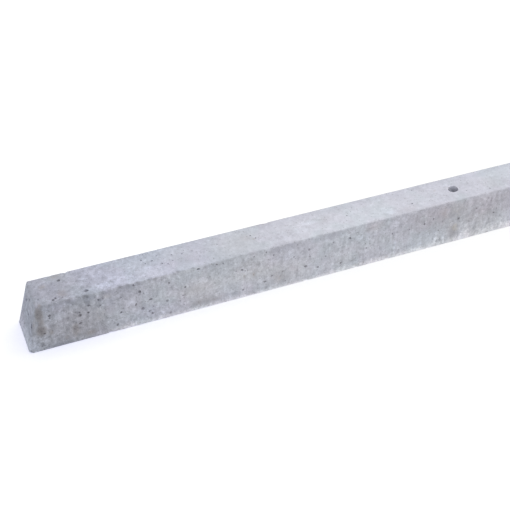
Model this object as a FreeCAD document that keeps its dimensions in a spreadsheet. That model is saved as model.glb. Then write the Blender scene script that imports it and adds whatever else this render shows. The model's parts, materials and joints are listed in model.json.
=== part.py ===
"""Short concrete fence post, the kind that is set in the ground and bolted beside a timber post.

The post is one casting. It was cast in an open mould, so the face that lay on the mould's floor is
narrow, the trowelled face is wide, and the sides and both ends lean outwards to let it out. It lies
here on its trowelled face: X runs along it from the foot to the weathered top, Y across it and Z up,
with the origin in the middle of the trowelled face.
"""

import FreeCAD
import Part
import Sketcher

import enum
import os

SHEET = "Dimensions"
OUTPUT = "parts"

# Driving dimensions in millimetres: alias, value, what it measures
DIMENSIONS = [
    ("post_length", 1200, "overall, along the trowelled face"),
    ("post_depth", 75, "trowelled face to moulded face"),
    ("trowelled_width", 75, "wide face, at the open top of the mould"),
    ("moulded_width", 60, "narrow face, on the floor of the mould"),
    ("foot_lean", 19, "how far the foot end leans, along the post"),
    ("top_weathering", 75, "how far the weathered top slopes, along the post"),
    ("lower_hole_height", 692, "foot to the lower bolt hole"),
    ("bolt_spacing", 300, "lower bolt hole to upper bolt hole"),
    ("bolt_hole_diameter", 16, "clear hole for a fixing bolt"),
    ("corner_radius", 5, "upright corners at both ends"),
    ("arris_radius", 2, "arrises round the moulded face"),
]
BOLT_HOLES = 2
TOLERANCE = 1e-6


class Axis(enum.IntEnum):
    """Sketcher's own numbers for a sketch's axes."""
    X = -1
    Y = -2


class Point(enum.IntEnum):
    """Sketcher's own numbers for the points of a line or circle."""
    START = 1
    END = 2
    CENTRE = 3


ORIGIN = (Axis.X, Point.START)


def make_sheet(doc):
    """Puts each driving dimension in a cell with its own alias."""
    sheet = doc.addObject("Spreadsheet::Sheet", SHEET)
    for row, (alias, value, note) in enumerate(DIMENSIONS, start=1):
        sheet.set(f"A{row}", note)
        sheet.set(f"B{row}", str(value))
        sheet.setAlias(f"B{row}", alias)
    doc.recompute()
    return sheet


def make_sketch(body, name, plane_role):
    """Starts a sketch on one of the body's own origin planes."""
    plane = next(f for f in body.Origin.OriginFeatures if f.Role == plane_role)
    sketch = body.newObject("Sketcher::SketchObject", name)
    sketch.AttachmentSupport = [(plane, "")]
    sketch.MapMode = "FlatFace"
    return sketch


def add_outline(sketch, points):
    """Draws a closed outline; line i runs from point i to the next one."""
    corners = [FreeCAD.Vector(x, y, 0) for x, y in points]
    count = len(corners)
    for i in range(count):
        sketch.addGeometry(Part.LineSegment(corners[i], corners[(i + 1) % count]), False)
    for i in range(count):
        sketch.addConstraint(Sketcher.Constraint("Coincident", i, Point.END, (i + 1) % count, Point.START))


def dimension(sketch, name, kind, where, value, formula):
    """Adds a named dimension that follows a formula of the sheet's cells."""
    index = sketch.addConstraint(Sketcher.Constraint(kind, *where, value))
    sketch.renameConstraint(index, name)
    sketch.setExpression(f"Constraints.{name}", formula)


def cell(alias):
    """The formula that reads one cell of the sheet."""
    return f"{SHEET}.{alias}"


def pad_section(body, sheet):
    """The drafted cross-section, drawn out to the full length either side of the middle."""
    half_wide = sheet.trowelled_width / 2
    half_narrow = sheet.moulded_width / 2
    depth = sheet.post_depth
    base, moulded = 0, 2
    sketch = make_sketch(body, "section", "YZ_Plane")
    add_outline(sketch, [(-half_wide, 0), (half_wide, 0), (half_narrow, depth), (-half_narrow, depth)])
    sketch.addConstraint(Sketcher.Constraint("Horizontal", base))
    sketch.addConstraint(Sketcher.Constraint("Symmetric", base, Point.START, base, Point.END, *ORIGIN))
    sketch.addConstraint(Sketcher.Constraint("Symmetric", moulded, Point.START, moulded, Point.END, Axis.Y))
    dimension(sketch, "wide", "DistanceX", (base, Point.START, base, Point.END),
              sheet.trowelled_width, cell("trowelled_width"))
    dimension(sketch, "narrow", "DistanceX", (moulded, Point.END, moulded, Point.START),
              sheet.moulded_width, cell("moulded_width"))
    dimension(sketch, "depth", "DistanceY", (base, Point.START, moulded, Point.END),
              depth, cell("post_depth"))
    pad = body.newObject("PartDesign::Pad", "drawn_section")
    pad.Profile = sketch
    pad.SideType = "Symmetric"
    pad.setExpression("Length", cell("post_length"))
    return pad


def cut_through(body, name, sketch):
    """Cuts a sketch's outline through everything, to both sides of its plane."""
    pocket = body.newObject("PartDesign::Pocket", name)
    pocket.Profile = sketch
    pocket.Type = "ThroughAll"
    pocket.SideType = "Symmetric"
    return pocket


def slope_end(body, sheet, name, side, run):
    """Slopes one end back by a run along the post, so that the trowelled face is left the longer.

    side is -1 at the foot and 1 at the top.
    """
    depth = sheet.post_depth
    tip = side * sheet.post_length / 2
    back = tip - side * sheet.get(run)
    upright, level = 0, 1
    sketch = make_sketch(body, f"{name}_outline", "XZ_Plane")
    add_outline(sketch, [(tip, 0), (tip, depth), (back, depth)])
    sketch.addConstraint(Sketcher.Constraint("Vertical", upright))
    sketch.addConstraint(Sketcher.Constraint("Horizontal", level))
    sketch.addConstraint(Sketcher.Constraint("PointOnObject", upright, Point.START, Axis.X))
    ends = [ORIGIN, (upright, Point.START)]
    run_ends = [(level, Point.START), (level, Point.END)]
    if side < 0:
        ends.reverse()
    else:
        run_ends.reverse()
    dimension(sketch, "tip", "DistanceX", (*ends[0], *ends[1]), abs(tip), f"{cell('post_length')} / 2")
    dimension(sketch, "depth", "DistanceY", (upright, Point.START, upright, Point.END),
              depth, cell("post_depth"))
    dimension(sketch, "run", "DistanceX", (*run_ends[0], *run_ends[1]), sheet.get(run), cell(run))
    return cut_through(body, name, sketch)


def bore_bolt_holes(body, sheet):
    """The lower bolt hole, straight through the depth, and its repeat up the post."""
    radius = sheet.bolt_hole_diameter / 2
    place = sheet.lower_hole_height - sheet.post_length / 2
    hole = 0
    sketch = make_sketch(body, "bolt_hole_outline", "XY_Plane")
    sketch.addGeometry(Part.Circle(FreeCAD.Vector(place, 0, 0), FreeCAD.Vector(0, 0, 1), radius), False)
    sketch.addConstraint(Sketcher.Constraint("PointOnObject", hole, Point.CENTRE, Axis.X))
    dimension(sketch, "bore", "Diameter", (hole,), 2 * radius, cell("bolt_hole_diameter"))
    dimension(sketch, "place", "DistanceX", (*ORIGIN, hole, Point.CENTRE), place,
              f"{cell('lower_hole_height')} - {cell('post_length')} / 2")
    pocket = cut_through(body, "lower_bolt_hole", sketch)
    pattern = body.newObject("PartDesign::LinearPattern", "bolt_holes")
    pattern.Originals = [pocket]
    pattern.Direction = (sketch, ["H_Axis"])
    pattern.Occurrences = BOLT_HOLES
    pattern.setExpression("Length", f"{cell('bolt_spacing')} * {BOLT_HOLES - 1}")
    body.Tip = pattern
    return pattern


def upright_corners(shape, sheet):
    """Names of the edges between the sides and the ends, which run from face to face clear of the holes."""
    names = []
    for number, edge in enumerate(shape.Edges, start=1):
        box = edge.BoundBox
        full_depth = abs(box.ZLength - sheet.post_depth) < TOLERANCE
        if full_depth and abs(box.Center.y) > sheet.bolt_hole_diameter / 2:
            names.append(f"Edge{number}")
    return names


def moulded_arrises(shape, sheet):
    """Names of the edges round the outside of the moulded face."""
    face = next(f for f in shape.Faces if f.BoundBox.ZMin > sheet.post_depth - TOLERANCE)
    rim = face.OuterWire.Edges
    return [
        f"Edge{number}"
        for number, edge in enumerate(shape.Edges, start=1)
        if any(edge.isSame(part) for part in rim)
    ]


def round_edges(doc, body, sheet, name, choose, radius):
    """Rounds the edges that choose() finds on the body as it stands."""
    doc.recompute()
    base = body.Tip
    fillet = body.newObject("PartDesign::Fillet", name)
    fillet.Base = (base, choose(base.Shape, sheet))
    fillet.setExpression("Radius", cell(radius))
    return fillet


def make_post(doc, sheet):
    """The whole casting, in the order its mould gives it its shape."""
    body = doc.addObject("PartDesign::Body", "post")
    body.Label = "concrete_post"
    pad_section(body, sheet)
    slope_end(body, sheet, "foot_end", -1, "foot_lean")
    slope_end(body, sheet, "weathered_top", 1, "top_weathering")
    bore_bolt_holes(body, sheet)
    round_edges(doc, body, sheet, "rounded_corners", upright_corners, "corner_radius")
    round_edges(doc, body, sheet, "rounded_arrises", moulded_arrises, "arris_radius")
    doc.recompute()
    return body


def check(doc, parts):
    """Stops if any object failed or any sub-part has no sound solid."""
    for item in doc.Objects:
        if "Invalid" in item.State or "Error" in item.State:
            raise RuntimeError(f"{item.Label} did not build: {item.State}")
    for part in parts:
        if part.Shape.isNull() or not part.Shape.isValid():
            raise RuntimeError(f"{part.Label} has no valid shape")


def main():
    doc = FreeCAD.newDocument("ConcreteFencePost")
    sheet = make_sheet(doc)
    parts = [make_post(doc, sheet)]
    check(doc, parts)
    os.makedirs(OUTPUT, exist_ok=True)
    for part in parts:
        part.Shape.exportStep(os.path.join(OUTPUT, f"{part.Label}.step"))
        print(f"{part.Label}: {len(part.Shape.Solids)} solid, {part.Shape.Volume:.0f} mm3")


main()
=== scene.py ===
"""Looks of the short concrete fence post: its cast surface with voids, chips and stains, in a white studio.

Places on the post are in millimetres: x along it from the foot's tip, y across it and z up from the
trowelled face it lies on. The mesh is turned into metres in the part's own frame when it is made.
"""

import json
import math
import random

import bpy
import numpy as np
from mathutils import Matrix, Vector, noise
from mathutils.geometry import delaunay_2d_cdt


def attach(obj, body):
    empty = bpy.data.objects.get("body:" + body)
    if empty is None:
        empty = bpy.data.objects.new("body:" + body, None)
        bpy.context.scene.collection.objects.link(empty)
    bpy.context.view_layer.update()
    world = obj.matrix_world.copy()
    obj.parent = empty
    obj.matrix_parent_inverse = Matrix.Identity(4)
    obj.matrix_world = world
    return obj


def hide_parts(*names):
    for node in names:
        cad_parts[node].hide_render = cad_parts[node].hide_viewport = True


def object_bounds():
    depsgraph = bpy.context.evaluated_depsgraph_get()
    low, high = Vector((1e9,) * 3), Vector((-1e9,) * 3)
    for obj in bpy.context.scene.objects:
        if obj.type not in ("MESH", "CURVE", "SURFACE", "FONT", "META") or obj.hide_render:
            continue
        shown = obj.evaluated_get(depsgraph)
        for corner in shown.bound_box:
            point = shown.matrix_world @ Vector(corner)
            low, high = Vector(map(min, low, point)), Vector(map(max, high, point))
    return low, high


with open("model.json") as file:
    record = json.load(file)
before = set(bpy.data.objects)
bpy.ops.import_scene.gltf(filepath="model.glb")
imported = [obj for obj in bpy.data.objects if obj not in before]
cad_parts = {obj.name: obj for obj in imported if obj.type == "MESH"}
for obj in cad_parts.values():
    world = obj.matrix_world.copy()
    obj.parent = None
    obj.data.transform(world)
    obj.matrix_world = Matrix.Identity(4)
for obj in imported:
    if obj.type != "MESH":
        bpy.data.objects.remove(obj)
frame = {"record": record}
CAD_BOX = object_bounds()

MM = 0.001
SQUARE_CM = 100.0
NODE = "concrete_post"
SHAPE_SEED = 7
MARK_SEED = 11

# Sizes of the casting
LENGTH, WIDE_FACE, DEPTH = ((high - low) / MM for low, high in zip(*CAD_BOX))
NARROW_FACE = 60.0
FOOT_LEAN = 19.0
WEATHERING = 75.0
DRAFT_RUN = (WIDE_FACE - NARROW_FACE) / 2
LEVEL_FACES = ("moulded", "trowelled")

# Worn edges: the radius of each kind, how near to an edge it holds, how many turns the rounding takes, and
# the angle from which an edge is shaded sharp
ARRIS_RADIUS = 2.0
FOOT_ARRIS_RADIUS = 4.0
CORNER_RADIUS = 5.0
TROWELLED_RADIUS = 0.9
RADIUS_BLEND = 0.4
ROUNDING_TURNS = 24
SHARP_ANGLE = math.radians(38)

# How far the cast surface strays inwards from flat, and the zones beside the edges where that changes
SWELL_DEPTH = 0.4
RIPPLE_DEPTH = 0.16
EDGE_ZONE = 9.0
EDGE_WOBBLE = 0.25
WOBBLE_ZONE = 5.0

# Waves of noise over the surface: length of a swell and seed, and how far apart in the noise the seeds lie
SWELL_WAVES = (85.0, 1)
RIPPLE_WAVES = (12.0, 2)
WOBBLE_WAVES = (15.0, 3)
CHIP_WAVES = (2.6, 4)
FOOT_WAVES = (45.0, 5)
ARRIS_WAVES = (40.0, 6)
LINE_WAVES = (24.0, 7)
DRIP_WAVES = (8.0, 8)
CHIP_SHADE_WAVES = (3.0, 9)
SEED_STEP = (13.7, 5.1, 9.3)

# Spacing of the mesh's points: along the edges, in rows beside them (inset and step), and over the faces
EDGE_STEP = 1.8
ROWS = [(0.7, 1.9), (1.7, 2.1), (3.0, 2.5), (4.8, 3.0)]
LATTICE_STEP = 3.4
LATTICE_MARGIN = 6.2
JITTER = 0.22
SAME_POINT = 1e-5

# Bolt holes: their worn lips, widest on the side towards the foot, and the profile from the face to the
# bore as shares of the lip's width and drop
HOLE_SIDES = 44
HOLE_TURNS = 2 * np.pi * np.arange(HOLE_SIDES) / HOLE_SIDES
MOUTH_LIP = 0.6
LIP_WEAR = 0.6
LIP_SLOPE = 1.2
LIP_PROFILE = [(0.55, 0.2), (0.2, 0.55), (0.0, 1.0)]
OUTER_RING = 1.5
LIP_CLEARANCE = 2.6

# Their rough walls, with painted shade that darkens them towards the top of the post and painted light that
# is palest at one turn
WALL_STEP = 4.5
WALL_ROUGHNESS = 0.25
WALL_LUMP = 6.0
WALL_NOISE_RADIUS = 9.0
PAINTED_WALL_SHADE = 0.35
PAINTED_LIGHT_TURN = math.radians(140)

# Places on a face are read as x and z on a side, x and y on a level face, and y and z on an end

# Air voids that the photograph shows: place and radius
VOIDS = {
    "front": [
        (36.2, 55.5, 2.2), (36, 51.5, 1.5), (92.2, 56.1, 2), (78.2, 43.3, 2.8), (77.8, 48, 1.5),
        (90, 44.5, 2), (76.6, 29.9, 2.4), (107.9, 51.1, 1.8), (106.6, 61.1, 2), (112.9, 61.1, 1.1),
        (25.8, 28, 1.8), (136.5, 29.9, 2), (129, 10.5, 2.2), (121.6, 20.5, 1), (19, 8, 1.3),
        (138.5, 55, 1.2), (166.6, 56.8, 2.4), (161.6, 55.8, 1), (171.6, 53, 1.1), (180.8, 39.5, 2.5),
        (159, 36.8, 2.2), (168.2, 26.8, 2.9), (177.2, 19.5, 1.8), (181.6, 14.9, 2.2), (184, 26, 1.3),
        (205.4, 29.5, 2.2), (208.5, 7.4, 2.2), (210.4, 59.2, 1.8), (206, 68.6, 1.2), (158.5, 70.5, 1.8),
        (229.5, 31.5, 1.3), (229.5, 15.5, 1.3), (233.5, 44.9, 1.9), (255.4, 69.9, 2.3), (272, 51.8, 1.2),
        (283.5, 69.9, 1.8), (293.5, 68.6, 1.5), (312.9, 49.2, 1.3), (322, 48.6, 2.5), (327, 46, 1.2),
        (330.6, 46.8, 1), (341.6, 67, 1.4), (361, 69, 1.3), (372.2, 60.8, 1.5), (357.2, 18, 2.2),
        (368.5, 24.9, 1.9), (322, 13.6, 1.7), (386, 28, 1.5), (404.8, 48, 1.5), (411, 68, 1.3),
        (430, 54.2, 2.1), (431, 41.8, 1.5), (423.5, 26, 2.5), (443.8, 19, 1.9), (457, 35, 1.3),
        (469.8, 55.8, 1.3), (471, 43.6, 1), (497.9, 56.1, 2.1), (510.4, 62.4, 1.2), (482.2, 15.5, 2),
        (523.5, 38.6, 1.3), (525.4, 30.5, 1.5), (531.6, 36.8, 1.3), (569.8, 44.2, 1.5), (599, 43.6, 1.5),
        (626, 46.8, 1.7), (629.8, 29.9, 1), (641.6, 51.8, 1.7), (651.6, 28, 1.2), (649, 9, 1.5),
        (687.2, 40.5, 2.4), (705.4, 41.8, 1), (706.6, 30.5, 1.3), (710.4, 48.6, 1), (719, 51, 1.5),
        (739.8, 64.5, 1.3), (744.8, 59, 1.2), (752.2, 34.9, 1.7), (756.6, 41.8, 1.2),
    ],
    "moulded": [
        (62.6, 14.6, 2.6), (92.9, -21, 3.6), (49.6, -21, 1.9), (45.8, -23.6, 2.1), (54.8, -20, 1.1),
        (59.1, -22.5, 1.2), (26.6, -15.4, 1.3), (102, -5.8, 1), (183.5, 14, 1.6), (187, 4.6, 1.3),
        (197.9, 7, 1.5), (207.2, 15.5, 1.3), (228.5, 9.6, 1.5), (243.2, 6.5, 1.3), (259, 7, 1.2),
        (226, -3.5, 1.3), (222.2, -0.4, 1), (209.8, -4.8, 1.1), (217.2, -7.9, 1.3), (189.8, 25, 1.2),
        (179, -22.9, 1.1), (247.9, 12.8, 1), (265.4, -9, 1), (298.2, 8, 1.2), (351, 9, 1.5),
        (356.4, 0.5, 1.6), (506, -0.4, 1.4), (516, 7, 1), (521.6, 15, 1), (532, -1, 1), (578.5, -7, 1),
        (613, -10.8, 1.6), (629.8, 21, 1.2), (709, -12.4, 1.1), (732, -4.8, 0.9), (746.6, -20.4, 1.6),
    ],
    "foot": [
        (-27, 39.8, 2.8), (15, 54.5, 2.1), (8, 60, 1.3), (0.5, 65, 1.9), (-4, 43.8, 1.7),
        (-21.8, 21.8, 1.4),
    ],
}

# Small voids strewn over each face besides: how many to a square centimetre, smallest and largest radius
SMALL_VOIDS = {
    "front": (0.30, 0.45, 0.95),
    "back": (0.45, 0.45, 2.1),
    "moulded": (0.16, 0.4, 0.8),
    "trowelled": (0.36, 0.5, 1.6),
    "foot": (0.30, 0.45, 1.0),
    "top": (0.45, 0.45, 1.7),
}
VOID_SKEW = 2.2
VOID_GAP = 0.7
VOID_MARGIN = 2.2
MOUTH_MARGIN = 4.0

# Shape of a void: depth, stretch and lumps as shares of its radius, the ring of clear mesh round it, and its
# rings from the rim inwards as share of the radius, share of the depth and points
VOID_DEPTH = (0.7, 1.15)
VOID_STRETCH = (0.8, 1.2)
VOID_LUMP = (0.84, 1.1)
LUMP_COUNT = 12
VOID_CLEARANCE = (1.3, 0.5)
VOID_RINGS = [(1.0, 0.0, 11), (0.84, 0.5, 10), (0.5, 0.9, 7), (0.0, 1.0, 1)]
TINY_VOID = 1.05
TINY_VOID_RINGS = [(1.0, 0.0, 7), (0.62, 0.8, 5), (0.0, 1.0, 1)]

# Painted shade in a void: how fast it darkens from its rim, and how its floor darkens with its radius
VOID_DARKENING = 1.6
VOID_SHADE = (0.25, 0.4)

# Chips on the edges: x, y, z of the middle, half the length along the post, reach and depth
CHIPS = [
    (62.5, -30.3, 73.5, 7, 3.6, 1.5), (89.5, -30.5, 72.5, 6.5, 4, 1.5), (76, -30, 74.6, 4, 2.6, 1),
    (139, -30, 74.4, 5, 2.8, 1.2), (149, -30.1, 74, 4, 2.6, 1), (164, -30.4, 73.4, 6, 2.6, 1),
    (224.5, -30, 74.8, 4.5, 2.8, 1.2), (321, -30, 74.8, 4, 2.2, 0.8), (445, -30, 74.6, 6, 2.4, 0.8),
    (605, -30, 74.8, 5, 2.2, 0.8), (26, -30, 74.6, 5, 3, 1.2), (75, 30, 74.8, 3, 3, 1.2),
    (52, 30, 74.8, 4, 2.2, 0.4), (384, 30, 74.8, 6, 2.4, 0.9), (930, 30, 74.8, 9, 3.4, 1.6),
    (1010, -30, 74.8, 7, 3, 1.3), (870, -30, 74.6, 5, 2.6, 1.1), (424, -37.4, 1.2, 4.5, 3.4, 1.7),
    (508, -37.3, 1.6, 3.5, 3, 1.3), (561, -37.3, 1.8, 4, 3.4, 1.5), (634, -37.3, 1.8, 3, 3.2, 1.4),
    (118, -37.4, 0.4, 4, 2.4, 1), (820, -37.4, 0.4, 6, 2.8, 1.2), (240, 37.4, 0.4, 5, 2.8, 1.2),
    (705, 37.4, 0.4, 6, 3.2, 1.4), (1010, 37.4, 0.6, 4, 3, 1.3), (1196, 20, 2, 4, 6, 2),
    (0.6, -37.3, 0.4, 4.2, 4.6, 2.2),
]
CHIP_STEEPNESS = 1.7
# How strong the painted shade in the chips is, and the heights over which it comes in
CHIP_SHADE = 0.8
CHIP_SHADE_SPAN = (50, 65)

# Marks that the photograph shows: place, half the length, half the height and the strength
BROWN_MARKS = {
    "front": [
        (21.5, 34, 8.5, 11, 1), (22, 60, 7, 14, 1), (23, 48, 6, 9, 0.8), (35, 28, 5, 7, 0.7),
        (43, 35.5, 3, 6, 0.5), (56, 12, 6, 5, 0.5), (69, 20, 7, 15, 0.6), (90, 10, 12, 6, 0.5),
        (109, 37, 19, 16, 0.3), (119, 64, 12, 7, 0.25), (264, 11.5, 34, 7, 0.4),
        (325, 35, 2.2, 5.5, 0.65), (340, 35.5, 2.6, 6, 0.75), (380, 20, 16, 18, 0.3),
        (508, 4, 3.5, 3, 0.5), (561, 4, 4, 3, 0.5), (672, 55, 30, 24, 0.36), (677, 22, 12, 22, 0.3),
    ],
    "moulded": [
        (26, -28, 4, 4, 0.6), (38, 8, 6, 6, 0.4), (61, -14, 9, 11, 0.6), (61, 25, 12, 6, 0.5),
        (353.5, -1.6, 3, 2.5, 0.8), (662, 6.5, 4, 3, 0.4),
    ],
    "foot": [(-30, 45, 4, 18, 0.5)],
    "top": [(8, 40, 14, 12, 0.5)],
}
PALE_MARKS = {
    "front": [
        (8, 15, 9, 13, 1.1), (9, 5, 5, 4, 0.7), (38, 8, 3, 3, 0.7), (42, 55, 2, 6, 0.6),
        (45, 66, 22, 6, 0.45), (46, 53, 15, 17, 0.55), (51, 20, 2, 6, 0.6), (51, 50, 2.5, 11, 0.7),
        (60, 67, 14, 6, 0.4), (150, 60, 8, 6, 0.4), (152, 41, 8, 7, 0.7), (175, 50, 8, 5, 0.4),
        (182, 20, 8, 6, 0.6), (196, 12, 7, 2, 0.7), (201, 61, 4, 7, 0.6), (262, 51, 14, 7, 0.38),
        (301, 10, 2.5, 6, 0.6), (330, 50, 16, 9, 0.55), (330, 56, 36, 18, 0.35), (368, 55, 34, 10, 0.4),
        (390, 60, 16, 12, 0.5), (394, 51, 14, 8, 0.65), (431, 28, 3, 3, 0.9), (510, 12, 10, 6, 0.5),
        (512, 48, 12, 10, 0.45), (512, 52, 12, 8, 0.6), (524, 50, 26, 10, 0.38), (575, 24, 3, 9, 0.6),
        (578.5, 61.8, 3, 3, 0.6), (592, 65, 3, 3, 0.6), (619, 12, 5, 5, 0.8), (646, 17, 4, 8, 0.5),
        (660, 12, 5, 8, 0.6), (682, 26, 5, 7, 0.7), (695, 6, 7, 7, 0.9), (720, 36, 3, 7, 0.6),
        (752, 67, 20, 6, 0.42), (763, 47, 4, 4, 0.6),
    ],
    "moulded": [
        (51.2, 17.5, 1.8, 2.8, 1.2), (53, -25, 4, 2, 1), (54.8, 15, 1.5, 2, 0.6),
        (61.2, -7.8, 3, 2.5, 1.2), (72.2, -25.5, 5, 2, 1), (96, 3, 14, 20, 0.45), (120, -20, 15, 9, 0.85),
        (120, 5, 14, 12, 0.4), (130, -21, 60, 8, 0.6), (150, -8, 40, 18, 0.45), (165, -15, 8, 11, 0.8),
        (180, -16, 12, 12, 0.45), (180, -8, 12, 10, 0.45), (187, -6, 8, 7, 0.7), (289.8, 20, 3, 3, 0.5),
        (360, -8, 14, 8, 0.42), (392, -12, 18, 13, 0.4), (422, -8, 30, 8, 0.4), (450, 5, 24, 10, 0.45),
        (497, 7, 4, 4, 0.4), (570, -19, 14, 8, 0.75), (570, -14, 15, 13, 0.5), (685, 12, 6, 7, 0.7),
        (690, 4, 16, 10, 0.4), (781, -7, 4, 4, 0.5),
    ],
    "foot": [(0, 9, 36, 13, 0.8), (20, 40, 12, 40, 0.3)],
}
# Dark marks: stains, and painted shade under the front arris and round the voids on the foot
DAMP_AND_SHADE_MARKS = {
    "front": [
        (21, 35, 7, 12, 0.75), (21.5, 58, 7, 16, 0.6), (48, 4, 24, 3.5, 0.8), (63, 69.5, 6.5, 4, 0.8),
        (90.4, 69, 6, 5, 1), (91, 64, 4, 9, 1.4), (100, 68.5, 5, 5, 1.1), (108, 60, 3.5, 5, 0.9),
        (120, 52, 12, 9, 0.42), (120, 70.5, 9, 3.5, 0.9), (133, 12, 10, 8, 0.4), (137, 36, 10, 12, 0.42),
        (150, 70.5, 18, 3.5, 0.75), (164, 70, 9, 4, 0.6), (170, 31, 9, 9, 0.42), (183, 46, 10, 8, 0.42),
        (184, 27, 5, 5, 0.55), (190.8, 46.8, 4, 3.5, 0.7), (206, 62, 5, 5, 0.5), (240, 60, 14, 10, 0.38),
        (264, 11, 36, 6, 0.5), (296, 13.5, 5, 4, 0.6), (310, 11.5, 6, 4, 0.6), (339, 12.5, 7, 3, 0.6),
        (386, 10, 7, 8, 0.5), (438, 24, 24, 10, 0.34), (452, 34, 16, 15, 0.4), (536, 11.5, 9, 4, 0.5),
        (558, 28, 26, 12, 0.33), (602, 17, 14, 9, 0.4), (608, 12, 3.5, 9, 0.6), (628, 31, 44, 14, 0.36),
        (677, 17, 11, 15, 0.5), (687, 15, 3, 10, 0.5), (717, 16, 2.5, 12, 0.6), (732, 12, 2.5, 9, 0.6),
        (751, 17, 3, 9, 0.6), (752, 36, 16, 9, 0.38), (772, 16, 3, 10, 0.6),
    ],
    "moulded": [
        (24, 0, 9, 34, 0.42), (52, -3, 12, 24, 0.45), (92, 20, 14, 7, 0.42), (240, 6, 12, 8, 0.36),
        (242, -9, 20, 20, 0.45), (268, -16, 14, 10, 0.36), (450, -22, 14, 6, 0.3), (540, 4, 14, 10, 0.3),
        (545, -22, 12, 6, 0.3), (600, 12, 16, 14, 0.32), (722, 20, 14, 9, 0.3), (752, -22, 14, 6, 0.32),
        (752, 18, 22, 9, 0.36),
    ],
    "foot": [
        (-27, 39.8, 3.5, 5.5, 1.3), (-12, 36, 12, 14, 0.4), (-4, 43.8, 5, 4, 0.7), (0.5, 65, 5, 3, 1),
        (15, 54.5, 5, 3, 1),
    ],
}
WARM_MARKS = {
    "front": [
        (82, 42, 28, 22, 0.5), (85, 20, 34, 22, 0.6), (240, 28, 26, 18, 0.6), (264, 14, 40, 15, 0.8),
        (340, 54, 30, 18, 0.3), (381, 20, 24, 26, 0.8), (395, 27, 18, 18, 0.5), (487, 19, 16, 12, 0.6),
        (540, 65, 18, 9, 0.2), (645, 54, 52, 26, 1), (677, 22, 13, 22, 0.8), (735, 52, 60, 26, 1),
    ],
    "moulded": [
        (344, 6, 10, 8, 0.7), (470, 5, 14, 9, 0.4), (605, -21, 16, 8, 0.5), (755, -10, 18, 20, 0.6),
    ],
}
OCHRE_MARKS = {
    "front": [(119, 64, 9, 6, 0.3), (682, 26, 7, 9, 0.75)],
    "moulded": [(38, 8, 6, 6, 0.5), (61, 25, 11, 5, 0.4)],
}
BLUSH_MARKS = {
    "front": [
        (60, 32, 54, 34, 1.1), (262, 32, 34, 24, 1), (338, 36, 42, 36, 1), (412, 20, 26, 22, 0.7),
        (540, 65, 18, 9, 1), (690, 56, 20, 18, 0.7), (716, 24, 64, 26, 1),
    ],
    "moulded": [(62, 20, 14, 8, 0.8), (236, 0, 26, 34, 0.9), (322, 2, 40, 34, 0.7)],
}
MARK_REACH = 7.0
MARK_FADE = (0.2, 1.4)

# Kinds of marks: those listed, and those strewn where the photograph shows nothing, with how many to a
# metre, smallest and largest half size, and strength. Blush is only listed
MARKS = {
    "brown": (BROWN_MARKS, (14, 3.0, 15.0, 0.7)),
    "pale": (PALE_MARKS, (26, 2.0, 11.0, 0.7)),
    "damp_and_shade": (DAMP_AND_SHADE_MARKS, (20, 2.5, 9.0, 0.6)),
    "warm": (WARM_MARKS, (9, 12.0, 34.0, 0.6)),
    "ochre": (OCHRE_MARKS, (3, 4.0, 9.0, 0.6)),
    "blush": (BLUSH_MARKS, (0, 0.0, 0.0, 0.0)),
}
UNSEEN = {"front": (795, 1190), "moulded": (800, 1115), "back": (15, 1190), "trowelled": (15, 1185)}
STREWN_ON_LEVEL = (-27, 27)
STREWN_ON_SIDE = (8, 68)
STREWN_SKEW = 1.6
STREWN_SWING = (0.7, 1.2)


def corner(end, side, level):
    """A corner of the casting before wear: end is 0 at the foot, side -1 at the front, level 1 at the top."""
    x = FOOT_LEAN * level if end == 0 else LENGTH - WEATHERING * level
    y = side * (WIDE_FACE / 2 - DRAFT_RUN * level)
    return np.array([x, y, DEPTH * level])


# The corners round each face, anticlockwise as seen from outside
FACE_CORNERS = {
    "front": [(0, -1, 0), (1, -1, 0), (1, -1, 1), (0, -1, 1)],
    "back": [(1, 1, 0), (0, 1, 0), (0, 1, 1), (1, 1, 1)],
    "moulded": [(0, -1, 1), (1, -1, 1), (1, 1, 1), (0, 1, 1)],
    "trowelled": [(0, 1, 0), (1, 1, 0), (1, -1, 0), (0, -1, 0)],
    "foot": [(0, 1, 0), (0, -1, 0), (0, -1, 1), (0, 1, 1)],
    "top": [(1, -1, 0), (1, 1, 0), (1, 1, 1), (1, -1, 1)],
}


def pairs_round(ring):
    """Each item of a closed ring with the next one."""
    return list(zip(ring, ring[1:] + ring[:1]))


def casting_edges():
    """The casting's twelve edges, each of them once."""
    found = []
    for keys in FACE_CORNERS.values():
        for first, last in pairs_round(keys):
            if (last, first) not in found:
                found.append((first, last))
    return found


EDGES = casting_edges()


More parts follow.
